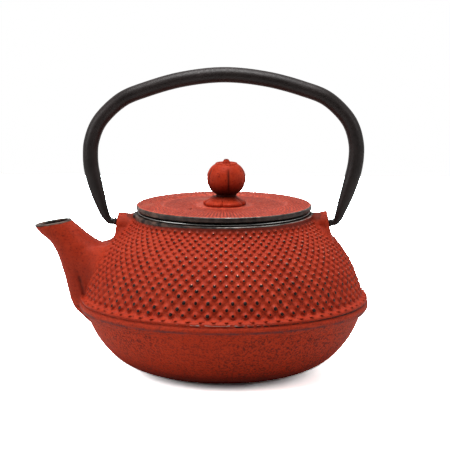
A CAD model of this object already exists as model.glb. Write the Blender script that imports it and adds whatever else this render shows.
"""Cast iron teapot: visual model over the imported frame. Shape constants are millimetres."""

import math

import bpy
import numpy as np
import openvdb
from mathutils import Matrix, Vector


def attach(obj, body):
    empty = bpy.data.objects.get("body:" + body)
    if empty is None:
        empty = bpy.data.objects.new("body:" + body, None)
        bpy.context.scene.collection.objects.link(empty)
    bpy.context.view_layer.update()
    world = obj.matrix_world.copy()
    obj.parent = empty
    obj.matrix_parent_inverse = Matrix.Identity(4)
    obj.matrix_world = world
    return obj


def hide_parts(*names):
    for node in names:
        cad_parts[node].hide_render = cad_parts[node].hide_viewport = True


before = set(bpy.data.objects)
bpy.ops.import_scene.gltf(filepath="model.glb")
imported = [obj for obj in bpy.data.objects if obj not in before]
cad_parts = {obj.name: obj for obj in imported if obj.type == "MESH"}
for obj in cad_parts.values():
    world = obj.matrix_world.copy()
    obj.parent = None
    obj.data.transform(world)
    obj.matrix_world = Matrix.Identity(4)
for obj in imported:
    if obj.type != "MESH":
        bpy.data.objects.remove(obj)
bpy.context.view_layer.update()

VOXEL = 0.5
RIM_Z = 85.4
HINGE_Z = 80.4
KNOB_X = 1.3

# ---------------------------------------------------------------- helpers


def smoothstep(a, b, v):
    """0 at a, 1 at b and smooth between them; a may be the larger."""
    t = np.clip((v - a) / (b - a), 0, 1)
    return t * t * (3 - 2 * t)


def soft_min(a, b, k):
    """The smaller of two distances, with a fillet about k wide where they meet."""
    h = np.clip(0.5 + 0.5 * (b - a) / k, 0, 1)
    return b + (a - b) * h - k * h * (1 - h)


def soft_max(a, b, k):
    """The larger of two distances, with a rounding about k wide where they meet."""
    return -soft_min(-a, -b, k)


def bump_at(v, centre, width):
    """A smooth bump, 1 at the centre."""
    return np.exp(-(((v - centre) / width) ** 2))


def catmull(points, steps):
    """A smooth curve through the points, centripetal, with steps points a span."""
    p = np.array(points, float)
    p = np.vstack([2 * p[0] - p[1], p, 2 * p[-1] - p[-2]])
    out = []
    for i in range(1, len(p) - 2):
        a, b, c, d = p[i - 1 : i + 3]
        t0, t1 = 0, max(np.linalg.norm(b - a), 1e-9) ** 0.5
        t2 = t1 + max(np.linalg.norm(c - b), 1e-9) ** 0.5
        t3 = t2 + max(np.linalg.norm(d - c), 1e-9) ** 0.5
        t = np.linspace(t1, t2, steps, endpoint=False)[:, None]
        ab = (t1 - t) / (t1 - t0) * a + (t - t0) / (t1 - t0) * b
        bc = (t2 - t) / (t2 - t1) * b + (t - t1) / (t2 - t1) * c
        cd = (t3 - t) / (t3 - t2) * c + (t - t2) / (t3 - t2) * d
        ac = (t2 - t) / (t2 - t0) * ab + (t - t0) / (t2 - t0) * bc
        bd = (t3 - t) / (t3 - t1) * bc + (t - t1) / (t3 - t1) * cd
        out.append((t2 - t) / (t2 - t1) * ac + (t - t1) / (t2 - t1) * bd)
    out.append(p[-2][None])
    return np.vstack(out)


class Table:
    """A smooth lookup of values on a flat grid."""

    def __init__(self, low, step, values):
        self.low, self.step, self.values = low, step, values

    def __call__(self, u, v):
        n, m = self.values.shape[:2]
        a = np.clip((u - self.low[0]) / self.step, 0, n - 1.001)
        b = np.clip((v - self.low[1]) / self.step, 0, m - 1.001)
        i, j = a.astype(np.int32), b.astype(np.int32)
        a, b = a - i, b - j
        f = self.values
        return (f[i, j] * (1 - a) + f[i + 1, j] * a) * (1 - b) + (
            f[i, j + 1] * (1 - a) + f[i + 1, j + 1] * a
        ) * b


def profile_distance(line, low, high, step):
    """Signed distance to a closed outline in the r-z plane, as a Table."""
    u = np.arange(low[0], high[0] + step, step)
    v = np.arange(low[1], high[1] + step, step)
    uu, vv = np.meshgrid(u, v, indexing="ij")
    best = np.full(uu.shape, 1e9)
    inside = np.zeros(uu.shape, bool)
    for (ax, az), (bx, bz) in zip(line, np.roll(line, -1, axis=0)):
        dx, dz = bx - ax, bz - az
        length = dx * dx + dz * dz
        if length < 1e-12:
            continue
        t = np.clip(((uu - ax) * dx + (vv - az) * dz) / length, 0, 1)
        best = np.minimum(best, (uu - ax - t * dx) ** 2 + (vv - az - t * dz) ** 2)
        crosses = ((az > vv) != (bz > vv)) & (
            uu < (bx - ax) * (vv - az) / (dz if dz else 1e-12) + ax
        )
        inside ^= crosses
    best = np.sqrt(best)
    return Table(low, step, np.where(inside, -best, best).astype(np.float32))


def mesh_object(name, points, faces):
    """A linked mesh object from points in millimetres."""
    mesh = bpy.data.meshes.new(name)
    mesh.from_pydata((np.asarray(points, np.float64) * 0.001).tolist(), [], faces)
    mesh.update()
    obj = bpy.data.objects.new(name, mesh)
    bpy.context.scene.collection.objects.link(obj)
    return obj


def new_object(name, points, faces, body, material):
    """A piece of the teapot, riding on a body."""
    obj = mesh_object(name, points, faces)
    obj.data.materials.append(material)
    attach(obj, body)
    return obj


def set_smooth(mesh, on=True):
    """Shade every face smooth, or every face flat."""
    mesh.polygons.foreach_set("use_smooth", [on] * len(mesh.polygons))


def attribute(mesh, name, values):
    """Store a number for each point, for a material to read."""
    layer = mesh.attributes.new(name, "FLOAT", "POINT")
    layer.data.foreach_set("value", np.asarray(values, np.float32))


# ---------------------------------------------------------------- pot casting

SHOULDER = [
    (73.9, 42.1), (73.35, 43.4), (72.3, 46.6), (71, 50.2), (69.8, 53.4), (68.3, 57),
    (66.4, 60.6), (64.1, 64.2), (61.6, 67.8), (58.4, 71.4), (55, 74.7), (51.6, 77.6),
    (49.5, 79.5), (48.4, 80.9), (48, 82),
]
OUTSIDE = (
    [(0, 0), (20, 0), (33, 0), (35.4, 0.2), (38.6, 0.7), (42.7, 1.6), (50.1, 4.2), (56.9, 8)]
    + [(63.3, 13.9), (68.1, 20), (71.4, 26), (73.6, 31.2), (75, 32.7)]
    + [(75.8, 33.4), (76.5, 33.9), (77.1, 34.7), (77.5, 35.5), (77.6, 36.4)]
    + [(77.55, 37.3), (77.2, 38.1), (76.7, 38.55), (76.4, 38.85)]
    + [(76.8, 39.15), (77.2, 39.6), (77.25, 40.2), (76.7, 40.8), (75.6, 41.2), (74.5, 41.6)]
    + SHOULDER
    + [(47.8, 83), (47.8, 84.4), (47.55, 85), (47.1, 85.35), (46.2, RIM_Z), (30, RIM_Z), (0, RIM_Z)]
)
# The cavity, carried up past the rim so that the mouth is open.
INSIDE = (
    [(0, 4), (20, 4), (34, 4), (47, 6.2), (57.6, 14), (66, 24), (70, 33), (70.1, 41)]
    + [(67.6, 50), (64.6, 57), (60.4, 64), (55.6, 70), (49.6, 75.4), (44.8, 78.8)]
    + [(43.3, 80.6), (43, 82.4), (43, 84), (43.3, 84.9), (44.4, 85.9), (46, 88), (46, 94)]
    + [(0, 94)]
)
# Spout sections from the underside (x, z) to the top (x, z), with the half width.
SPOUT = [
    ((-107.1, 84.6), (-85.6, 88.2), 7.9),
    ((-102.5, 78.3), (-82.3, 81.5), 8),
    ((-98.6, 73.9), (-77.3, 76.9), 8.3),
    ((-93.6, 69.6), (-72, 72.5), 9),
    ((-90.2, 64), (-66.3, 69.2), 10),
    ((-87.6, 56.6), (-59, 67.3), 10.6),
    ((-85.4, 48.5), (-52, 62), 9.8),
    ((-84, 42.4), (-47, 55), 8.8),
    ((-82.6, 37.1), (-44, 45), 8),
    ((-80.4, 32.8), (-44, 37), 7.4),
    ((-76.1, 28.5), (-46, 31), 7),
    ((-72.2, 25), (-46, 26), 6.5),
    ((-67, 21.5), (-46, 21), 6),
]
# The spout's passage, given the same way.
BORE = [
    ((-103.2, 86), (-85.2, 89), 5.9),
    ((-99, 78.9), (-84.6, 81.5), 5.7),
    ((-94.8, 73.8), (-79.8, 76.8), 6),
    ((-89.9, 69), (-75.2, 72.2), 6.5),
    ((-85.6, 60.4), (-69.9, 68.8), 7.2),
    ((-81, 51), (-66.3, 64.5), 8),
    ((-69, 40.5), (-58, 57.5), 9),
]
MOUTH_NORMAL = (-0.176, 0.984)
MOUTH_POINT = (-91.8, 80.1)
SPOUT_FOOT_Z = 21
KEEL_WIDTH = 8.8
SQUARENESS = 2.5
PAST_AXIS = -6.0
HOLE_R, HOLE_X, HOLE_HALF = 1.95, 54.7, 5
POLISH_Z, CREASE_Z, SEAM_Z = 39.75, 38.9, 35.5


class Tube:
    """An oval tube whose sections are stood across the XZ plane."""

    def __init__(self, sections, low, high, step=0.4):
        rows = np.array([[*u, *t, w] for u, t, w in sections])
        fine = catmull(rows, 60)
        middle = (fine[:, :2] + fine[:, 2:4]) / 2
        half = (fine[:, 2:4] - fine[:, :2]) / 2
        reach = np.linalg.norm(half, axis=1)
        along = half / reach[:, None]
        u = np.arange(low[0], high[0] + step, step)
        v = np.arange(low[1], high[1] + step, step)
        uu, vv = np.meshgrid(u, v, indexing="ij")
        best = np.full(uu.shape, 1e9)
        found = np.zeros(uu.shape + (3,))
        before = None
        for i in range(len(fine)):
            dx, dz = uu - middle[i, 0], vv - middle[i, 1]
            side = along[i, 0] * dz - along[i, 1] * dx
            place = along[i, 0] * dx + along[i, 1] * dz
            if before is not None:
                gap = before[0] - side
                t = np.clip(before[0] / np.where(np.abs(gap) < 1e-9, 1e-9, gap), 0, 1)
                p = before[1] * (1 - t) + place * t
                a = reach[i - 1] * (1 - t) + reach[i] * t
                w = fine[i - 1, 4] * (1 - t) + fine[i, 4] * t
                near = np.abs(before[0] * (1 - t) + side * t) + 0.02 * np.abs(p)
                take = near < best
                best = np.where(take, near, best)
                found = np.where(take[..., None], np.stack([p, a, w], -1), found)
            before = (side, place)
        found = found.astype(np.float32)
        self.tables = [Table(low, step, found[..., k]) for k in range(3)]

    def __call__(self, x, y, z):
        """Distance to the tube's wall, negative inside."""
        p, a, w = (table(x, z) for table in self.tables)
        u, v = np.abs(p / a), np.abs(y / w)
        n = SQUARENESS
        total = np.maximum(u**n + v**n, 1e-6)
        slope = total ** (1 / n - 1) * np.hypot(u ** (n - 1) / a, v ** (n - 1) / w)
        return (total ** (1 / n) - 1) / np.maximum(slope, 1e-3)


ROW_RATIO = 0.0413
DOTS = 72
DOT_TURN = 1.4 / 360
DOT_RADIUS, DOT_HEIGHT = 0.36, 0.25
LAST_DOT = (47.8, 83.7)


def shoulder_rows():
    """Row number against height on the shoulder: rows close up as the girth shrinks."""
    line = catmull(SHOULDER + [LAST_DOT], 30)
    ds = np.linalg.norm(np.diff(line, axis=0), axis=1)
    r = (line[1:, 0] + line[:-1, 0]) / 2
    row = np.concatenate([[0], np.cumsum(ds / (ROW_RATIO * r))])
    return line[:, 1], row


Z_LINE, ROW_LINE = shoulder_rows()
LAST_ROW = math.floor(ROW_LINE[-1] - 0.6)


def luck_of(a, b, size=43758.5453):
    """A fixed number from 0 to 1 for each pair of whole numbers."""
    seed = np.sin(a + b) * size
    return seed - np.floor(seed)


def dots(x, y, z, r):
    """The nearest hobnail's cone height 0..1, its pitch, its random number and its worn crest."""
    # The lowest rows sit closer to the belly's bead.
    dropped = z + 0.75 * smoothstep(54, 42, z) + 0.35 * bump_at(z, 47, 4)
    row = np.interp(dropped, Z_LINE, ROW_LINE, left=-9, right=99)
    turn = (np.arctan2(y, x) / (2 * math.pi) + DOT_TURN) * DOTS
    best, chance, crest = np.zeros_like(z), np.zeros_like(z), np.zeros_like(z)
    pitch = 2 * math.pi * np.maximum(r, 0.1) / DOTS
    for shift in (0, 1):
        k = np.floor(row) + shift
        offset = 0.5 * (k % 2)
        j = np.round(turn - offset)
        luck = luck_of((j % DOTS) * 12.9898, k * 78.233)
        luck2 = luck_of((j % DOTS) * 39.346, k * 11.135, 24634.6345)
        du = (turn - offset - j) * pitch + (luck - 0.5) * 0.035 * pitch
        dv = (row - k) * ROW_RATIO * r + (luck2 - 0.5) * 0.035 * pitch
        q = np.sqrt(du * du + dv * dv) / np.maximum(DOT_RADIUS * pitch * (0.94 + 0.12 * luck), 0.1)
        cone = np.clip(1 - q, 0, 1)
        cone = np.where((k < -0.5) | (k > LAST_ROW + 0.5), 0, cone)
        cone = np.where(k < 0.5, 0.7 * cone, cone)
        chance = np.where(cone > best, luck2, chance)
        above = np.exp(-((du / pitch) ** 2 + (dv / pitch - 0.1) ** 2) / 0.1**2) * (cone > 0)
        crest = np.maximum(crest, above * (0.6 + 0.4 * luck2))
        best = np.maximum(best, cone)
    return best, pitch, chance, crest


def dot_fade(x, z, body, spout):
    """Hobnails die out softly on the spout's flank, and run up to its keel lower down."""
    high = smoothstep(50, 64, z)
    crown = smoothstep(62, 70, z)
    soft = smoothstep(2.6 - 2 * crown, 8 - 4.5 * crown, spout)
    hard = smoothstep(0.2, 1.6, keel_edge(x, z)) * smoothstep(0.2, 1.1, spout)
    return (hard * (1 - high) + soft * high) * smoothstep(2.2, 0.8, body)


def keel_edge(x, z):
    """Distance, towards the pot, from the edge of the smooth keel under the spout."""
    under = np.array([u for u, _, _ in reversed(SPOUT)])
    return x - np.interp(z, under[:, 1], under[:, 0]) - KEEL_WIDTH


def past_mouth(x, z):
    """Distance past the plane of the spout's mouth."""
    return (x - MOUTH_POINT[0]) * MOUTH_NORMAL[0] + (z - MOUTH_POINT[1]) * MOUTH_NORMAL[1]


class Pot:
    """The casting as a distance field: bowl, shoulder, spout, ears and hobnails in one."""

    def __init__(self):
        self.outside = self.turned(OUTSIDE)
        self.inside = self.turned(INSIDE)
        self.spout = Tube(SPOUT, (-108, 18), (-36, 94))
        self.bore = Tube(BORE, (-108, 24), (-36, 96))

    def turned(self, points):
        """Distance to an outline turned about Z, as a table in r and z."""
        back = [(PAST_AXIS, points[-1][1]), (PAST_AXIS, points[0][1])]
        return profile_distance(np.vstack([catmull(points, 8), back]), (-2, -3), (106, 95), 0.25)

    def parts(self, x, y, z):
        """Radius, and the distances to the bowl, the spout and its bore."""
        r = np.hypot(x, y)
        body = self.outside(r, z)
        near = x < -38
        spout = np.full_like(body, 40)
        bore = np.full_like(body, 40)
        if near.any():
            xn, yn, zn = x[near], y[near], z[near]
            s = soft_max(self.spout(xn, yn, zn), past_mouth(xn, zn), 1.0)
            spout[near] = np.maximum(s, SPOUT_FOOT_Z - zn)
            b = self.bore(xn, yn, zn)
            bore[near] = np.maximum(b, np.maximum(xn + 60, 36 - zn))
        return r, body, spout, bore

    def ears(self, x, y, z):
        """Two arched lugs; the right one stands taller and closer in."""
        far, left = np.abs(x), x < 0
        out = np.where(left, 58.1 - 0.12 * (z - 75), 57.1 - 0.16 * (z - 75))
        top = np.where(left, 84.5, 85.3) + np.where(left, 0.13, 0.26) * (np.clip(far, 46, 55) - 48)
        half = 6.2 + 0.7 * smoothstep(50, 54, far)
        centre = top - half
        arch = np.where(z > centre, np.hypot(y, z - centre), np.abs(y) - 0.32 * (centre - z))
        ear = soft_max(arch - half, far - out, 1.5)
        return np.maximum(ear, np.maximum(46 - far, np.where(left, 73.5, 69) - z))

    def __call__(self, x, y, z):
        """Distance to the casting's surface, negative in the iron."""
        return self.look(x, y, z)["solid"]

    def look(self, x, y, z):
        """Every distance and mask at these points, by name."""
        r, body, spout, bore = self.parts(x, y, z)
        blend = 1.5 + 13 * smoothstep(44, 60, z) * smoothstep(3, 12, np.abs(y))
        skin = soft_min(body, spout, blend)
        ear = self.ears(x, y, z)
        skin = soft_min(skin, ear, 3.4)
        cone, pitch, chance, crest = dots(x, y, z, r)
        fade = dot_fade(x, z, body, spout) * smoothstep(0.6, 2.4, ear)
        bell = 0.5 - 0.5 * np.cos(math.pi * cone)
        skin = skin - DOT_HEIGHT * pitch * (0.86 + 0.28 * chance) * fade * bell
        keel_zone = smoothstep(38, 41, z) * smoothstep(58, 50, z) * (x < -60)
        skin = skin + 0.4 * bump_at(keel_edge(x, z), 0, 1.0) * keel_zone
        hole = np.maximum(np.hypot(y, z - HINGE_Z) - HOLE_R, np.abs(np.abs(x) - HOLE_X) - HOLE_HALF)
        inside = soft_min(self.inside(r, z), bore, 2.5)
        solid = np.maximum(soft_max(skin, -inside, 1.0), -hole)
        return {
            "solid": solid, "inner": -inside > skin, "body": body, "spout": spout, "ear": ear,
            "cone": cone, "chance": chance, "crest": crest, "fade": fade, "r": r,
        }


def mesh_field(field, low, high, h, adaptivity):
    """Closed mesh of a field's zero surface: points, faces, triangles and quads mixed."""
    size = [int(math.ceil((b - a) / (8 * h))) for a, b in zip(low, high)]
    middle = [a + (np.arange(n) + 0.5) * 8 * h - h / 2 for a, n in zip(low, size)]
    far = field(*(g.ravel() for g in np.meshgrid(*middle, indexing="ij"))).reshape(size)
    values = np.where(far > 0, 3 * h, -3 * h).astype(np.float32)
    values = values.repeat(8, 0).repeat(8, 1).repeat(8, 2)
    block = np.stack(np.meshgrid(*[np.arange(8)] * 3, indexing="ij"), -1).reshape(-1, 3)
    near = np.argwhere(np.abs(far) < 14 * h)
    for i in range(0, len(near), 4000):
        at = (near[i : i + 4000, None] * 8 + block).reshape(-1, 3)
        f = field(*(at * h + np.array(low)).T)
        values[tuple(at.T)] = np.clip(f, -3 * h, 3 * h)
    grid = openvdb.FloatGrid()
    grid.background = float(h * 3)
    grid.copyFromArray(values)
    points, tris, quads = grid.convertToPolygons(0.0, adaptivity)
    points = points * h + np.array(low)
    return points.astype(np.float64), tris, quads


def gradient(field, p, e=0.06):
    """The field's slope at each point."""
    x, y, z = p.T
    g = np.stack(
        [
            field(x + e, y, z) - field(x - e, y, z),
            field(x, y + e, z) - field(x, y - e, z),
            field(x, y, z + e) - field(x, y, z - e),
        ],
        -1,
    )
    return g / (2 * e)


def settle(field, p, rounds=3):
    """Move points onto the field's zero surface, and return its normals there."""
    for _ in range(rounds):
        g = gradient(field, p)
        f = field(*p.T)
        step = f[:, None] * g / np.maximum((g * g).sum(1), 0.2)[:, None]
        p = p - np.clip(step, -0.25, 0.25)
    g = gradient(field, p)
    return p, g / np.maximum(np.linalg.norm(g, axis=1), 1e-9)[:, None]


def pot_casting(material):
    pot = Pot()
    h = VOXEL
    p, tris, quads = mesh_field(pot, (-105, -82, -3), (82, 82, 91), h, 0.03)
    p, normals = settle(pot, p)
    faces = [tuple(f) for f in quads.tolist()] + [tuple(f) for f in tris.tolist()]
    a, b, c = (p[quads[:2000, k]] for k in range(3))
    facing = np.einsum("ij,ij->i", np.cross(b - a, c - a), normals[quads[:2000, 0]]).sum()
    if facing < 0:
        faces = [f[::-1] for f in faces]
    obj = new_object("pot_casting", p, faces, "pot", material)
    mesh = obj.data
    at = pot.look(*p.T)
    hobnail_masks(mesh, p, at)
    iron_masks(mesh, p, at)
    belly_masks(mesh, p, at)
    set_smooth(mesh)
    mesh.normals_split_custom_set_from_vertices(normals.tolist())
    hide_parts("pot_body")


def hobnail_masks(mesh, p, at):
    """Where the hobnails' tips are black, and where their crests are rubbed bright."""
    x, y, z = p.T
    outer = ~at["inner"]
    # Front and back are rubbed blacker than the sides, and the belly more than the crown.
    facing = smoothstep(0.4, 0.85, np.abs(y) / np.maximum(at["r"], 1))
    rubbed = 0.87 + 0.13 * facing - 0.06 * smoothstep(56, 68, z)
    tip = at["cone"] * rubbed * smoothstep(0.3, 0.9, at["fade"]) * smoothstep(41.4, 43, z)
    attribute(mesh, "tip", tip * outer)
    attribute(mesh, "chance", at["chance"])
    bright = smoothstep(46, 60, z) * (0.25 + 0.75 * smoothstep(-55, -10, x)) * (y < 0) * outer
    attribute(mesh, "crest", at["crest"] * at["fade"] * bright)


def iron_masks(mesh, p, at):
    """Bare iron on the spout's lip, the collar's rim and the inside."""
    x, y, z = p.T
    outer = ~at["inner"]
    mouth = past_mouth(x, z)
    at_mouth = (x < -70) & (z > 70)
    on_rim = (at["r"] < 49.5) & (at["ear"] > 0.8)
    # The rim's black edge is widest on the left and narrowest on the right.
    rim_low = 84.1 - 1.2 * smoothstep(-10, -42, x) + 0.9 * smoothstep(25, 45, x)
    attribute(mesh, "lip", at_mouth * smoothstep(-1.3, -0.3, mouth))
    attribute(mesh, "rim", smoothstep(rim_low, rim_low + 0.7, z) * on_rim)
    attribute(mesh, "collar", smoothstep(80, 84.5, z) * (at["r"] < 52) * outer)
    attribute(mesh, "inner", at["inner"])
    silver = bump_at(at["r"], 47.3, 0.45) * (z > 84.6) * smoothstep(-40, 10, x)
    silver += 0.55 * at_mouth * outer * smoothstep(-0.8, -0.2, mouth) * smoothstep(2, -4, y)
    on_body = (at["body"] < 1.2) & outer
    rubbed = 0.45 + 0.55 * bump_at(x, 5, 30)
    silver += bump_at(z, POLISH_Z, 0.6) * on_body * (at["spout"] > 2) * rubbed
    attribute(mesh, "polish", silver)


def belly_masks(mesh, p, at):
    """The belly's two dark lines, the spout's crease and the coarse bowl below."""
    x, _, z = p.T
    outer = ~at["inner"]
    clear = (at["body"] < 1.2) * outer * smoothstep(-0.5, 2.0, at["spout"])
    crease = bump_at(z, CREASE_Z, 0.55) * (0.72 + 0.28 * smoothstep(-25, 35, x))
    attribute(mesh, "crease", crease * clear)
    attribute(mesh, "seam", bump_at(z, SEAM_Z, 0.45) * clear)
    root = bump_at(keel_edge(x, z), 0, 0.9) * smoothstep(57, 50, z) * (z > 38) * (x < -60)
    attribute(mesh, "root", root * (at["spout"] < 3))
    attribute(mesh, "low", smoothstep(40, 33, z) * outer)
    attribute(mesh, "foot", smoothstep(13, 2, z) * outer)


# ---------------------------------------------------------------- materials


class Mat:
    """A node material under construction."""

    def __init__(self, name):
        self.m = bpy.data.materials.new(name)
        self.m.use_nodes = True
        self.nt = self.m.node_tree
        self.bsdf = self.nt.nodes["Principled BSDF"]

    def node(self, kind, **values):
        n = self.nt.nodes.new("ShaderNode" + kind)
        for k, v in values.items():
            setattr(n, k, v)
        return n

    def link(self, a, b):
        self.nt.links.new(a, b)

    def set(self, **values):
        names = {"metal": "Metallic", "spec": "Specular IOR Level"}
        for k, v in values.items():
            self.bsdf.inputs[names[k]].default_value = v

    def value(self, name):
        return self.node("Attribute", attribute_name=name).outputs["Fac"]

    def place(self, scale=(1, 1, 1)):
        at = self.node("TexCoord").outputs["Object"]
        m = self.node("Mapping")
        m.inputs["Scale"].default_value = scale
        self.link(at, m.inputs["Vector"])
        return m.outputs["Vector"]

    def noise(self, scale, detail=3, rough=0.55, where=None):
        n = self.node("TexNoise")
        n.inputs["Scale"].default_value = scale
        n.inputs["Detail"].default_value = detail
        n.inputs["Roughness"].default_value = rough
        self.link(where or self.place(), n.inputs["Vector"])
        return n.outputs["Fac"]

    def ramp(self, value, low, high, a=0.0, b=1.0):
        n = self.node("MapRange", interpolation_type="SMOOTHSTEP")
        for k, v in zip(("From Min", "From Max", "To Min", "To Max"), (low, high, a, b)):
            n.inputs[k].default_value = v
        self.link(value, n.inputs["Value"])
        return n.outputs["Result"]

    def math(self, op, a, b):
        n = self.node("Math", operation=op)
        for i, v in enumerate((a, b)):
            if isinstance(v, (int, float)):
                n.inputs[i].default_value = v
            else:
                self.link(v, n.inputs[i])
        return n.outputs["Value"]

    def times(self, a, b):
        return self.math("MULTIPLY", a, b)

    def plus(self, a, b, weight):
        """a + b * weight"""
        return self.math("ADD", a, self.times(b, weight))

    def mix(self, factor, a, b):
        n = self.node("Mix", data_type="RGBA")
        for socket, v in zip((n.inputs[6], n.inputs[7]), (a, b)):
            if isinstance(v, (tuple, list)):
                socket.default_value = (*v, 1)
            else:
                self.link(v, socket)
        self.link(factor, n.inputs[0])
        return n.outputs[2]

    def bump(self, height, strength, distance, after=None, masked=None):
        n = self.node("Bump")
        n.inputs["Strength"].default_value = strength
        if masked is not None:
            self.link(masked, n.inputs["Strength"])
        n.inputs["Distance"].default_value = distance
        self.link(height, n.inputs["Height"])
        if after is not None:
            self.link(after, n.inputs["Normal"])
        return n.outputs["Normal"]


def srgb(r, g, b):
    """A screen colour, 0 to 255, as linear light."""
    return tuple(
        ((c / 255 + 0.055) / 1.055) ** 2.4 if c > 10 else c / 255 / 12.92 for c in (r, g, b)
    )


RED = srgb(153, 45, 15)
RED_DEEP = srgb(112, 24, 10)
RED_DUSTY = srgb(161, 54, 25)
RED_SAND = srgb(190, 62, 26)
SAND_DARK = srgb(50, 16, 12)
SEAM = srgb(88, 50, 52)
BROWN = srgb(96, 34, 22)
CREST = srgb(222, 150, 130)
TIP = srgb(30, 14, 10)
IRON = srgb(27, 22, 21)
IRON_PALE = srgb(62, 52, 48)
IRON_DUSTY = srgb(104, 82, 72)
BARE = srgb(178, 172, 166)
LID_RED = srgb(184, 74, 48)
LID_RED_DEEP = srgb(132, 40, 24)
LID_PALE = srgb(206, 120, 98)
LID_GREY = srgb(150, 108, 92)
LID_GROOVE = srgb(96, 24, 14)
KNOB_RED = srgb(168, 58, 30)
KNOB_DARK = srgb(58, 10, 5)
BLACK = srgb(30, 24, 23)
BLACK_PALE = srgb(44, 37, 36)
BLACK_SCUFFED = srgb(84, 78, 76)
STEEL = srgb(168, 168, 166)
STEEL_PALE = srgb(196, 196, 194)


def speckled(m, light, dark, fine, cloud):
    """Hand-rubbed colour over black: two tones in clouds, darker in the fine grain."""
    paint = m.mix(m.ramp(cloud, 0.35, 0.7), light, dark)
    return m.mix(m.ramp(fine, 0.46, 0.28), paint, RED_DEEP)


def dusty(m, least):
    """How dusty the black iron is: more so towards the spout."""
    side = m.node("SeparateXYZ")
    m.link(m.place(), side.inputs[0])
    return m.times(m.ramp(side.outputs[0], 0.0, -0.04, least, 0.8), m.ramp(m.noise(210, 4), 0.4, 0.62))


def red_paint(m, low, fine, sand):
    """The casting's colour where it is painted."""
    paint = speckled(m, RED, RED_DUSTY, fine, m.noise(70, 5, 0.6))
    # Below the band the casting is coarse as sand, with black in its pits.
    dense = m.times(low, m.ramp(m.noise(24, 3, 0.5), 0.4, 0.62, 0.3, 0.65))
    pits = m.times(m.ramp(sand, 0.48, 0.6), m.math("ADD", dense, 0.2))
    paint = m.mix(m.times(low, 0.6), paint, RED_SAND)
    paint = m.mix(pits, paint, SAND_DARK)
    paint = m.mix(m.times(m.value("foot"), 0.8), paint, RED_DEEP)
    seam = m.times(m.value("seam"), m.ramp(m.noise(120, 3), 0.35, 0.6, 0.3, 0.95))
    paint = m.mix(seam, paint, SEAM)
    # The colour thins to brown below the rim, where it was rubbed back.
    rubbed = m.plus(m.value("collar"), m.noise(130, 4), 0.7)
    paint = m.mix(m.ramp(rubbed, 0.6, 1.3, 0, 0.8), paint, BROWN)
    root = m.times(m.value("root"), m.ramp(m.noise(300, 3), 0.3, 0.6, 0.2, 0.7))
    return m.mix(root, paint, SAND_DARK)


def red_iron():
    m = Mat("red_iron")
    low = m.value("low")
    fine = m.noise(900, 4, 0.65)
    sand = m.noise(820, 3, 0.8)
    grit = m.noise(420, 3)
    paint = red_paint(m, low, fine, sand)
    # Black iron shows on hobnail tips, rim, lip and along the band.
    tip = m.plus(m.plus(m.value("tip"), m.value("chance"), 0.2), grit, 0.2)
    gloss = m.ramp(tip, 0.62, 0.86)
    tip = m.ramp(tip, 0.8, 0.92)
    rim = m.plus(m.math("MAXIMUM", m.value("lip"), m.value("rim")), m.noise(240, 4), 0.7)
    rim = m.ramp(rim, 0.7, 1.05)
    line = m.ramp(m.plus(m.value("crease"), m.noise(40, 3), 0.9), 0.98, 1.3)
    black = m.math("MAXIMUM", m.math("MAXIMUM", tip, rim), m.math("MAXIMUM", line, m.value("inner")))
    iron = m.mix(m.ramp(grit, 0.45, 0.8), IRON, IRON_PALE)
    iron = m.mix(m.times(dusty(m, 0.15), rim), iron, IRON_DUSTY)
    colour = m.mix(tip, m.mix(black, paint, iron), TIP)
    crest = m.ramp(m.plus(m.value("crest"), grit, 0.2), 0.55, 0.85, 0, 0.8)
    colour = m.mix(crest, colour, CREST)
    # Polished metal where hands and the lid rub.
    glint = m.ramp(m.plus(m.value("polish"), m.noise(160, 4), 0.7), 0.95, 1.35, 0, 0.85)
    m.link(m.mix(glint, colour, BARE), m.bsdf.inputs["Base Color"])
    rough = m.math("SUBTRACT", 0.6, m.times(black, 0.2))
    m.link(m.math("SUBTRACT", rough, m.times(gloss, 0.18)), m.bsdf.inputs["Roughness"])
    m.link(m.math("MAXIMUM", m.times(glint, 0.6), m.times(crest, 0.3)), m.bsdf.inputs["Metallic"])
    normal = m.bump(m.noise(260, 3), 0.35, 0.0005)
    coarse = m.math("ADD", m.times(low, 0.6), 0.35)
    normal = m.bump(sand, 0.5, 0.0008, normal, coarse)
    m.link(m.bump(fine, 0.4, 0.00025, normal), m.bsdf.inputs["Normal"])
    m.set(spec=0.22)
    return m.m


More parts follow.
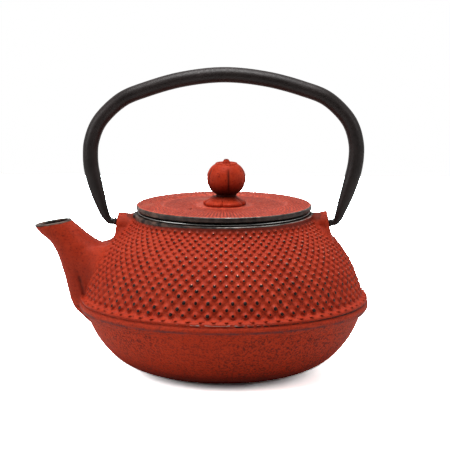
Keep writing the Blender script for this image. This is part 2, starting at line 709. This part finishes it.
def lid_iron():
    m = Mat("lid_iron")
    fine = m.noise(850, 4, 0.65)
    paint = speckled(m, LID_RED, LID_RED_DEEP, fine, m.noise(560, 4, 0.7))
    paint = m.mix(m.ramp(m.noise(680, 3, 0.7), 0.54, 0.66, 0, 0.55), paint, LID_PALE)
    paint = m.mix(m.times(m.value("groove"), 0.95), paint, LID_GROOVE)
    grey = m.ramp(m.noise(38, 3, 0.5, m.place((1, 1.6, 1))), 0.6, 0.78, 0, 0.4)
    paint = m.mix(grey, paint, LID_GREY)
    # Black iron round the rim band, with bare metal on its edges.
    black = m.ramp(m.plus(m.value("band"), m.noise(350, 4), 0.45), 0.55, 0.85)
    iron = m.mix(m.ramp(m.noise(260, 3), 0.35, 0.7), IRON, IRON_PALE)
    colour = m.mix(black, paint, m.mix(dusty(m, 0.1), iron, IRON_DUSTY))
    glint = m.ramp(m.plus(m.value("polish"), m.noise(380, 4), 0.6), 1.1, 1.45, 0, 0.7)
    colour = m.mix(glint, colour, BARE)
    m.link(m.mix(m.value("under"), colour, IRON), m.bsdf.inputs["Base Color"])
    m.link(m.math("SUBTRACT", 0.55, m.times(black, 0.2)), m.bsdf.inputs["Roughness"])
    m.link(m.times(glint, 0.7), m.bsdf.inputs["Metallic"])
    normal = m.bump(m.noise(300, 3), 0.4, 0.0004)
    m.link(m.bump(fine, 0.5, 0.00025, normal), m.bsdf.inputs["Normal"])
    m.set(spec=0.35)
    return m.m


def knob_iron():
    m = Mat("knob_iron")
    fine = m.noise(1100, 4, 0.6)
    paint = speckled(m, KNOB_RED, RED, fine, m.noise(260, 3))
    # Sprayed from above: the underside stays nearly bare black.
    paint = m.mix(m.value("shade"), paint, KNOB_DARK)
    paint = m.mix(m.times(m.value("groove"), 0.8), paint, KNOB_DARK)
    chips = m.ramp(m.noise(300, 2, 0.4), 0.735, 0.76)
    worn = m.ramp(m.plus(m.value("worn"), m.noise(500, 3), 0.6), 0.95, 1.4, 0, 0.8)
    colour = m.mix(m.math("MAXIMUM", chips, worn), paint, IRON_PALE)
    m.link(colour, m.bsdf.inputs["Base Color"])
    m.link(m.bump(fine, 0.45, 0.0002), m.bsdf.inputs["Normal"])
    m.link(m.ramp(fine, 0.3, 0.7, 0.62, 0.5), m.bsdf.inputs["Roughness"])
    m.set(spec=0.16)
    return m.m


def black_iron():
    m = Mat("black_iron")
    fine = m.noise(700, 4, 0.6)
    colour = m.mix(m.ramp(m.noise(60, 3), 0.3, 0.7), BLACK, BLACK_PALE)
    scuff = m.ramp(m.noise(240, 5, 0.7), 0.68, 0.78)
    m.link(m.mix(scuff, colour, BLACK_SCUFFED), m.bsdf.inputs["Base Color"])
    m.link(m.ramp(fine, 0.3, 0.7, 0.52, 0.36), m.bsdf.inputs["Roughness"])
    normal = m.bump(m.noise(180, 2), 0.3, 0.0004)
    m.link(m.bump(fine, 0.3, 0.00015, normal), m.bsdf.inputs["Normal"])
    m.set(spec=0.35)
    return m.m


def bright_steel(name, rough):
    m = Mat(name)
    line = m.noise(60, 3, 0.5, m.place((1, 1, 30)))
    m.link(m.mix(m.ramp(line, 0.3, 0.7), STEEL, STEEL_PALE), m.bsdf.inputs["Base Color"])
    m.link(m.ramp(line, 0.3, 0.7, rough - 0.08, rough + 0.1), m.bsdf.inputs["Roughness"])
    m.set(metal=1.0)
    return m.m


# ---------------------------------------------------------------- turned and swept pieces


def turn_mesh(profile, steps, shape=None, loop=False):
    """Points and faces of a profile (r, z) turned about Z. Unless it is a loop, its ends are closed."""
    profile = np.asarray(profile, float)
    angle = np.arange(steps) * 2 * math.pi / steps
    r = np.repeat(profile[:, :1], steps, 1)
    z = np.repeat(profile[:, 1:], steps, 1)
    if shape is not None:
        r, z = shape(r, z, angle[None])
    points = np.stack([r * np.cos(angle), r * np.sin(angle), z], -1).reshape(-1, 3)
    faces = []
    n = len(profile)
    for i in range(n if loop else n - 1):
        a, b = i * steps, ((i + 1) % n) * steps
        for j in range(steps):
            k = (j + 1) % steps
            faces.append((a + j, a + k, b + k, b + j))
    if not loop:
        for row, flip in ((0, True), (n - 1, False)):
            hub = len(points)
            ring = points[row * steps : (row + 1) * steps]
            points = np.vstack([points, ring.mean(0)])
            for j in range(steps):
                tri = (row * steps + j, row * steps + (j + 1) % steps, hub)
                faces.append(tri[::-1] if flip else tri)
    return points, faces


def joined(pieces):
    """Several (points, faces) pairs as one."""
    points, faces, count = [], [], 0
    for p, f in pieces:
        faces += [tuple(i + count for i in face) for face in f]
        points.append(p)
        count += len(p)
    return np.vstack(points), faces


def outward(points, faces):
    """The same faces, turned to look outwards."""
    volume = 0.0
    for f in faces:
        a, b, c = points[f[0]], points[f[1]], points[f[2]]
        volume += np.dot(a, np.cross(b, c))
        if len(f) == 4:
            volume += np.dot(a, np.cross(c, points[f[3]]))
    return [f[::-1] for f in faces] if volume < 0 else faces


def rounded(points, radius=0.4, steps=4):
    """A profile with its corners rounded: each inner corner becomes a short curve."""
    p = np.array(points, float)
    out = [p[0]]
    for a, b, c in zip(p[:-2], p[1:-1], p[2:]):
        u, v = a - b, c - b
        lu, lv = np.linalg.norm(u), np.linalg.norm(v)
        cut = min(radius, lu * 0.45, lv * 0.45)
        start, end = b + u / lu * cut, b + v / lv * cut
        for t in np.linspace(0, 1, steps):
            out.append((1 - t) ** 2 * start + 2 * t * (1 - t) * b + t * t * end)
    out.append(p[-1])
    return np.array(out)


def densify(line, step):
    """More points along a profile, with step(point) as the spacing after each."""
    dense = [line[0]]
    for a, b in zip(line[:-1], line[1:]):
        n = max(int(np.linalg.norm(b - a) / step(a)), 1)
        dense += [a + (b - a) * t for t in np.linspace(0, 1, n + 1)[1:]]
    return np.array(dense)


def piece(name, points, faces, body, slot, nodes, material, smooth=True, angle=None):
    """A finished piece, standing in for the CAD nodes named."""
    obj = new_object(name, points, outward(points, faces), body, material)
    set_smooth(obj.data, smooth)
    if angle is not None:
        obj.data.set_sharp_from_angle(angle=math.radians(angle))
    if nodes:
        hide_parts(*nodes)
    return obj


LID_PROFILE = [
    (0, 88), (20, 88), (36.2, 88.3), (36.4, 82.6), (38.3, 82.4), (38.9, 83), (39, 86.9),
    (44.6, 86.9), (46.5, 87.35), (47, 87.75), (47, 89.7), (46.4, 90.25), (40, 90.75),
    (34.8, 91.02), (32.6, 90), (20, 89.9), (8, 89.9), (0, 89.9),
]
STROKES = 150
DISH_R, DISH_EDGE_R = 33, 33.2
VENT_R, VENT_AT = 1.25, (-16.9, -16.6, 0)


def stroke_height(r, a):
    """Short raised dashes in rays across the lid, stronger outside the dish."""
    ray = a * STROKES / (2 * math.pi)
    k = np.round(ray)
    wave = 0.5 + 0.5 * np.cos(2 * math.pi * (ray - k))
    luck = luck_of(k * 12.9898, 0)
    beat = 0.5 + 0.5 * np.cos(2 * math.pi * (r / 2.1 + 0.5 * (k % 2) + 0.25 * luck))
    zone = smoothstep(DISH_R + 0.8, DISH_R + 1.8, r) * smoothstep(46, 45, r)
    inner_zone = 0.6 * smoothstep(14, 18, r) * smoothstep(DISH_R - 0.3, DISH_R - 1.5, r)
    return wave * (0.25 + 0.75 * beat) * (zone + inner_zone)


def lid_plate(material):
    def spacing(point):
        return 0.7 if point[1] > 89.5 and point[0] > 14 else 3

    def strokes(r, z, a):
        return r, z + 0.42 * stroke_height(r, a) * (z > 89.5)

    line = densify(rounded(LID_PROFILE, 0.3, 4), spacing)[1:-1]
    points, faces = turn_mesh(line, STROKES * (5), strokes)
    obj = piece("lid", points, faces, "lid", "lid_iron", ["lid_plate"], material, angle=40)
    drill_vent(obj)
    mesh = obj.data
    x, y, z = coordinates(mesh).T
    r = np.hypot(x, y)
    attribute(mesh, "band", (r > 46) * (z > 87.2) * smoothstep(90.3, 90, z))
    attribute(mesh, "under", (z < 89.3) & (r < 46.4))
    above = (z > 89.7) & (r > 14)
    low = 1 - stroke_height(r, np.arctan2(y, x)) * np.where(r > DISH_R, 1.6, 2.4)
    zone = smoothstep(15, 19, r) * smoothstep(46.2, 45, r) * (1 - bump_at(r, DISH_EDGE_R, 1.7))
    attribute(mesh, "groove", np.clip(low, 0, 1) * zone * above)
    top = bump_at(z, 90, 0.3) * (r > 46) * smoothstep(-25, 5, x)
    low_edge = bump_at(z, 87.75, 0.3) * (r > 46.3) * smoothstep(20, 40, x)
    attribute(mesh, "polish", top + 0.8 * low_edge)


def drill_vent(obj):
    """Cut the vent hole through the lid."""
    points, faces = turn_mesh([(VENT_R, 80), (VENT_R, 96)], 32)
    points = points + np.array(VENT_AT)
    tool = mesh_object("vent", points, outward(points, faces))
    hole = obj.modifiers.new("vent", "BOOLEAN")
    hole.object = tool
    hole.solver = "MANIFOLD"
    hole.operation = "DIFFERENCE"
    bake_modifiers(obj)
    bpy.data.objects.remove(tool)


def coordinates(mesh):
    """The mesh's points in millimetres."""
    co = np.empty(len(mesh.vertices) * 3)
    mesh.vertices.foreach_get("co", co)
    return co.reshape(-1, 3) * 1000


def bake_modifiers(obj):
    """Apply every modifier to the mesh."""
    graph = bpy.context.evaluated_depsgraph_get()
    mesh = bpy.data.meshes.new_from_object(obj.evaluated_get(graph), depsgraph=graph)
    old = obj.data
    obj.modifiers.clear()
    obj.data = mesh
    bpy.data.meshes.remove(old)


KNOB_PROFILE = [
    (5.45, 94.9), (5.5, 95.7), (6.6, 96.5), (8.2, 97.8), (9.4, 99.7), (10.1, 101.7),
    (10.38, 103.7), (10.3, 105.5), (9.85, 107.3), (9, 109), (7.7, 110.6), (6.2, 111.75),
]
KNOB_TOP = [
    (6.2, 111.75), (5.95, 111.8), (5.9, 112.2), (5.5, 112.6), (5, 112.55), (4.6, 112.1),
    (2.4, 111.95), (2.15, 112.3), (2.1, 112.9), (1.7, 113.6), (1.45, 113.75), (1.4, 114.1),
    (0.9, 114.5), (0, 114.6),
]
GROOVES = 5
GROOVE_AT = math.radians(-80.5)


def groove_distance(r, a):
    """How far round the ball the nearest groove is, in millimetres."""
    turn = (a - GROOVE_AT) * GROOVES / (2 * math.pi)
    return np.abs(turn - np.round(turn)) * 2 * math.pi / GROOVES * r


def on_ball(z):
    """1 on the knob's ball, fading out at its foot and crown."""
    return smoothstep(96.2, 99, z) * smoothstep(111, 107.8, z)


def knob(material):
    line = np.vstack([catmull(KNOB_PROFILE, 6)[:-1], rounded(KNOB_TOP, 0.3, 4)[:-1]])

    def lobes(r, z, a):
        off = groove_distance(r, a)
        depth = 0.5 * on_ball(z)
        return r - depth * bump_at(off, 0, 0.7) - 0.22 * depth * (1 - off / 6.5), z

    points, faces = turn_mesh(line, 160, lobes)
    points[:, 0] += KNOB_X
    obj = piece("knob", points, faces, "lid", "knob_iron", ["lid_knob"], material, angle=50)
    x, y, z = coordinates(obj.data).T
    x = x - KNOB_X
    r = np.hypot(x, y)
    off = groove_distance(r, np.arctan2(y, x))
    attribute(obj.data, "groove", bump_at(off, 0, 0.6) * on_ball(z))
    attribute(obj.data, "shade", smoothstep(103.6, 96.5, z))
    ring_end = bump_at(r, 5.7, 0.3) * (z > 112) * smoothstep(3, 5.5, np.abs(x))
    attribute(obj.data, "worn", smoothstep(113.9, 114.3, z) + 0.9 * ring_end)


SEAT_X = 0.3
SEAT_PROFILE = [
    (2.4, 89.95), (11, 89.95), (11.6, 90.3), (11.6, 91.3), (11.1, 91.9), (9, 92.7),
    (6.2, 94.6), (2.4, 94.6),
]
NOTCH_AT = math.radians(49.5)


def petal_wave(a):
    """0 at each of the seat's five notches, 1 halfway between them."""
    return np.abs(np.sin(2.5 * (a - NOTCH_AT)))


def knob_seat(material):
    def petals(r, z, a):
        wave = petal_wave(a)
        full = 0.87 + 0.13 * wave**0.35
        reach = smoothstep(5.5, 11.0, r)
        drop = 0.5 * (1 - wave**0.35) * smoothstep(8.5, 11.2, r) * (z > 91.6)
        return r * (1 + (full - 1) * reach), z - drop

    line = densify(rounded(SEAT_PROFILE, 0.4, 4), lambda point: 0.7)
    points, faces = turn_mesh(line, 240, petals)
    points[:, 0] += SEAT_X
    nodes = ["lid_knob_seat"]
    obj = piece("knob_seat", points, faces, "lid", "knob_iron", nodes, material, angle=50)
    x, y, z = coordinates(obj.data).T
    r = np.hypot(x - SEAT_X, y)
    dip = smoothstep(0.6, 0.95, 1 - petal_wave(np.arctan2(y, x - SEAT_X)) ** 0.5)
    attribute(obj.data, "groove", 0.4 * dip * smoothstep(9.4, 10, r) * (z < 91.9))
    attribute(obj.data, "shade", 0.35 * smoothstep(8.6, 6.4, r))
    attribute(obj.data, "worn", np.zeros(len(x)))


def sweep(path, radii, sides):
    """A round bar along a path in the XZ plane, closed at both ends."""
    path = np.asarray(path, float)
    along = np.gradient(path, axis=0)
    along /= np.linalg.norm(along, axis=1)[:, None]
    up = np.cross([0, 1, 0], along)
    a = np.arange(sides) * 2 * math.pi / sides
    across = np.cos(a)[None, :, None] * np.array([0, 1, 0])
    ring = across + np.sin(a)[None, :, None] * up[:, None]
    points = (path[:, None] + ring * np.asarray(radii)[:, None, None]).reshape(-1, 3)
    faces = []
    for i in range(len(path) - 1):
        for j in range(sides):
            k = (j + 1) % sides
            faces.append((i * sides + j, i * sides + k, (i + 1) * sides + k, (i + 1) * sides + j))
    faces.append(tuple(range(sides))[::-1])
    faces.append(tuple((len(path) - 1) * sides + j for j in range(sides)))
    return points, faces


LEFT_LEG = [
    (59.9, 80.5), (61.5, 80.9), (62.8, 82.4), (63.7, 83.9), (65.3, 88), (66.7, 92.3),
    (69.2, 101), (71.1, 109.6), (71.5, 116), (71.05, 122.6), (68.25, 131.2), (63.9, 137.6),
    (53.8, 146.5), (41.2, 151.7), (22.6, 157),
]
RIGHT_LEG = [
    (22.6, 157.4), (41.8, 152.4), (54.6, 147.3), (64.7, 137.9), (68.5, 131.2), (70.55, 122.6),
    (70.55, 116), (69.65, 109.6), (67.35, 101), (64.5, 92.3), (62.95, 88), (61.5, 83.9),
    (60.8, 82.4), (59.7, 81.1), (58, 80.5),
]
BOW_TOP = (0, 159.6)
BOW_HEIGHTS = [80.4, 82, 83.7, 88, 92.3, 96.7, 101, 105.3, 109]
BOW_RADII = [1.75, 1.95, 2.3, 2.8, 3.3, 3.68, 3.95, 4.07, 4.1]
FOOT_X = {-1: 59.9, 1: 58.0}
BEAD_X = {-1: 57.9, 1: 56.6}


def bow(material):
    line = catmull([(-x, z) for x, z in LEFT_LEG] + [BOW_TOP] + RIGHT_LEG, 12)
    path = np.stack([line[:, 0], 0 * line[:, 0], line[:, 1]], 1)
    radii = np.interp(line[:, 1], BOW_HEIGHTS, BOW_RADII)
    points, faces = sweep(path, radii, 28)
    piece("bow", points, faces, "handle", "black_iron", ["handle_bow"], material, angle=50)


def pin(side, material):
    foot, bead = FOOT_X[side], BEAD_X[side]
    stations = [
        (50, 1.3), (50.4, 1.65), (bead - 0.5, 1.65), (bead - 0.1, 1.75), (bead + 0.1, 2.0),
        (bead + 0.4, 2.1), (bead + 0.7, 2.0), (bead + 0.9, 1.75), (bead + 1.1, 1.6),
        (foot + 0.2, 1.55), (foot + 0.4, 1.2), (foot + 1.8, 1.2),
    ]
    path = [(side * x, 0, HINGE_Z) for x, _ in stations]
    points, faces = sweep(path, [r for _, r in stations], 20)
    name = "right" if side > 0 else "left"
    nodes = ["handle_pin_" + name]
    piece("pin_" + name, points, faces, "handle", "black_iron", nodes, material, angle=60)


def wires(paths, radius, sides=4):
    """Many thin bars at once: paths is an array (bars, points, 3); up is found for each."""
    paths = np.asarray(paths, float)
    along = np.gradient(paths, axis=1)
    along /= np.linalg.norm(along, axis=2)[..., None]
    ref = np.zeros_like(along)
    ref[..., 2] = (np.abs(along[..., 2]) < 0.7).astype(float)
    ref[..., 0] = 1 - ref[..., 2]
    u = np.cross(along, ref)
    u /= np.linalg.norm(u, axis=2)[..., None]
    v = np.cross(along, u)
    a = (np.arange(sides) + 0.5) * 2 * math.pi / sides
    ring = u[..., None, :] * np.cos(a)[:, None] + v[..., None, :] * np.sin(a)[:, None]
    points = paths[..., None, :] + radius * ring
    bars, n = paths.shape[:2]
    index = np.arange(bars * n * sides).reshape(bars, n, sides)
    a0, b0 = index[:, :-1], index[:, 1:]
    quads = np.stack([a0, np.roll(a0, -1, 2), np.roll(b0, -1, 2), b0], -1).reshape(-1, 4)
    ends = np.vstack([index[:, 0][:, ::-1], index[:, -1]])
    faces = [tuple(f) for f in quads.tolist()] + [tuple(f) for f in ends.tolist()]
    return points.reshape(-1, 3), faces


WIRE_R, WIRE_PITCH = 0.16, 1.25
WALL_R, WALL_LOW, WALL_HIGH = 39.95, 50.9, 84.5
SIEVE_R, SIEVE_Z = 38.9, 51.0
FLANGE_PROFILE = [
    (40.6, 80.7), (41.3, 80.7), (41.3, 85.1), (42, 85.7), (45.2, 85.7), (45.95, 85.75),
    (45.95, 86.35), (45.2, 86.4), (41.6, 86.4), (40.6, 85.6), (40.6, 80.8),
]
BASE_PROFILE = [
    (36.6, 49.62), (41, 49.6), (41.3, 49.9), (41.3, 54.1), (40.6, 54.1), (40.6, 50.5),
    (36.6, 50.3), (36.6, 49.7),
]
SEAM_PROFILE = [(40.15, 54.3), (40.5, 54.3), (40.5, 80.4), (40.15, 80.4)]
SEAM_TURN = (118, 124)
SEAM_STEPS = 6


def infuser_wall():
    """Upright and level wires woven round the infuser's wall."""
    rows = int((WALL_HIGH - WALL_LOW) / WIRE_PITCH)
    around = int(2 * math.pi * WALL_R / WIRE_PITCH / 2) * 2
    zs = WALL_LOW + (np.arange(rows) + 0.5) * (WALL_HIGH - WALL_LOW) / rows
    turn = np.arange(around + 1)[:, None] * 2 * math.pi / around
    odd = (np.arange(around + 1)[:, None] + np.arange(rows)) % 2
    weave = WIRE_R * np.where(odd, 1, -1)

    def crossings(r):
        return np.stack([r * np.cos(turn), r * np.sin(turn), np.broadcast_to(zs, r.shape)], -1)

    upright = wires(crossings(WALL_R + weave)[:-1], WIRE_R)
    level = wires(crossings(WALL_R - weave).transpose(1, 0, 2), WIRE_R)
    return joined([upright, level])


def infuser_sieve():
    """Wires woven both ways across the infuser's floor."""
    n = int(SIEVE_R / WIRE_PITCH)
    spots = np.arange(-n, n + 1) * WIRE_PITCH
    bars = []
    for along_x in (True, False):
        for i, offset in enumerate(spots):
            half = math.sqrt(max(SIEVE_R**2 - offset**2, 0))
            k = spots[np.abs(spots) < half]
            if len(k) < 2:
                continue
            odd = (np.round(k / WIRE_PITCH).astype(int) + i - n) % 2
            wave = WIRE_R * np.where(odd, 1, -1) * (1 if along_x else -1)
            k = np.concatenate([[-half], k, [half]])
            z = SIEVE_Z + np.concatenate([[0], wave, [0]])
            other = np.full(len(k), offset)
            bar = np.stack([k, other, z] if along_x else [other, k, z], -1)
            bars.append(wires(bar[None], WIRE_R))
    return joined(bars)


def infuser_seam():
    """The strip that closes the wall, an arc of the turned profile."""
    points = []
    for t in np.radians(np.linspace(*SEAM_TURN, SEAM_STEPS + 1)):
        points += [(r * math.cos(t), r * math.sin(t), z) for r, z in SEAM_PROFILE]
    faces = [(0, 1, 2, 3), tuple(4 * SEAM_STEPS + j for j in (3, 2, 1, 0))]
    for i in range(SEAM_STEPS):
        for j in range(4):
            k = (j + 1) % 4
            faces.append((i * 4 + j, i * 4 + k, i * 4 + 4 + k, i * 4 + 4 + j))
    return np.array(points), faces


def infuser(steel, mesh_steel):
    wall, sieve, seam = infuser_wall(), infuser_sieve(), infuser_seam()
    rim = turn_mesh(rounded(FLANGE_PROFILE, 0.3, 4), 160, loop=True)
    base = turn_mesh(rounded(BASE_PROFILE, 0.3, 4), 160, loop=True)
    part = "infuser"
    piece("infuser_mesh", *wall, part, "steel_mesh", ["infuser_wall"], mesh_steel, smooth=False)
    piece("infuser_sieve", *sieve, part, "steel_mesh", ["infuser_floor"], mesh_steel, smooth=False)
    piece("infuser_flange", *rim, part, "steel", ["infuser_rim"], steel, angle=50)
    piece("infuser_base", *base, part, "steel", ["infuser_base_ring"], steel, angle=50)
    piece("infuser_seam", *seam, part, "steel", [], steel, smooth=False)


# ---------------------------------------------------------------- studio


GAMMA = 0.86
ROOM_FRONT = 0.08
ROOM_BACK = 0.8
FLOOR_AT, FLOOR_SIZE = (0, 0.1, 0), (1.7, 1.3, 1)
FLOOR_BOUNCE = (0.6, 0.59, 0.58)
FLOOR_SEEN = (4.6, 5.1, 5.15)
# Name, place, aim, width, height, watts.
LIGHTS = [
    ("overhead", (-0.05, -0.16, 1.25), (0, 0, 0.05), 0.9, 0.9, 26),
    ("left", (-1.3, -0.5, 0.6), (0, 0, 0.06), 0.9, 0.9, 10.5),
    ("right", (1.3, -0.4, 0.6), (0, 0, 0.06), 0.9, 0.9, 5.8),
]


def aim(obj, at, to):
    """Put a light or camera at one point, facing another."""
    obj.location = at
    obj.rotation_euler = (Vector(to) - Vector(at)).to_track_quat("-Z", "Y").to_euler()
    bpy.context.scene.collection.objects.link(obj)


def room():
    """A room that is dark in front and bright behind, and plain white to the camera."""
    world = bpy.data.worlds.new("studio")
    bpy.context.scene.world = world
    world.use_nodes = True
    nodes, links = world.node_tree.nodes, world.node_tree.links
    back = nodes["Background"]
    axes = nodes.new("ShaderNodeSeparateXYZ")
    links.new(nodes.new("ShaderNodeTexCoord").outputs["Generated"], axes.inputs["Vector"])
    wall = nodes.new("ShaderNodeMapRange")
    names = ("From Min", "From Max", "To Min", "To Max")
    for name, value in zip(names, (-0.1, 0.5, ROOM_FRONT, ROOM_BACK)):
        wall.inputs[name].default_value = value
    links.new(axes.outputs["Y"], wall.inputs["Value"])
    seen = nodes.new("ShaderNodeMix")
    links.new(nodes.new("ShaderNodeLightPath").outputs["Is Camera Ray"], seen.inputs[0])
    links.new(wall.outputs["Result"], seen.inputs[2])
    seen.inputs[3].default_value = 1.0
    links.new(seen.outputs[0], back.inputs["Strength"])
    back.inputs["Color"].default_value = (1, 1, 1, 1)


def cloth():
    """A white floor: overbright to the camera, plain cloth to the light it bounces."""
    bpy.ops.mesh.primitive_plane_add(size=1)
    floor = bpy.context.object
    floor.name = "floor"
    floor.location = FLOOR_AT
    floor.scale = FLOOR_SIZE
    m = Mat("floor")
    matt = m.node("BsdfDiffuse")
    shade = m.mix(m.node("LightPath").outputs["Is Camera Ray"], FLOOR_BOUNCE, FLOOR_SEEN)
    m.link(shade, matt.inputs["Color"])
    m.link(matt.outputs[0], m.nt.nodes["Material Output"].inputs["Surface"])
    floor.data.materials.append(m.m)


def studio():
    view = bpy.context.scene.view_settings
    view.view_transform = "Standard"
    view.look = "None"
    view.gamma = GAMMA
    room()
    cloth()
    for name, at, to, wide, high, power in LIGHTS:
        data = bpy.data.lights.new(name, "AREA")
        data.shape = "RECTANGLE"
        data.size = wide
        data.size_y = high
        data.energy = power
        aim(bpy.data.objects.new(name, data), at, to)


SENSOR, LENS = 36, 171.4
CAMERA_TURN, CAMERA_LIFT = math.radians(2.5), math.radians(9.3)
CAMERA_AWAY = 1.15
CAMERA_TARGET = Vector((0.0006, 0, 0.0788))


def camera():
    data = bpy.data.cameras.new("camera")
    data.sensor_width = SENSOR
    data.lens = LENS
    flat = math.cos(CAMERA_LIFT)
    east, north = flat * math.sin(CAMERA_TURN), -flat * math.cos(CAMERA_TURN)
    at = CAMERA_TARGET + CAMERA_AWAY * Vector((east, north, math.sin(CAMERA_LIFT)))
    obj = bpy.data.objects.new("camera", data)
    aim(obj, at, CAMERA_TARGET)
    bpy.context.scene.camera = obj


def main():
    studio()
    camera()
    pot_casting(red_iron())
    lid_plate(lid_iron())
    knob_red = knob_iron()
    knob(knob_red)
    knob_seat(knob_red)
    black = black_iron()
    bow(black)
    for side in (-1, 1):
        pin(side, black)
    steel = bright_steel("steel", 0.32)
    infuser(steel, bright_steel("steel_mesh", 0.4))
    for node in ("lid_stud", "lid_washer", "lid_nut"):
        obj = bpy.data.objects[node]
        for slot in obj.material_slots:
            slot.material = steel


main()
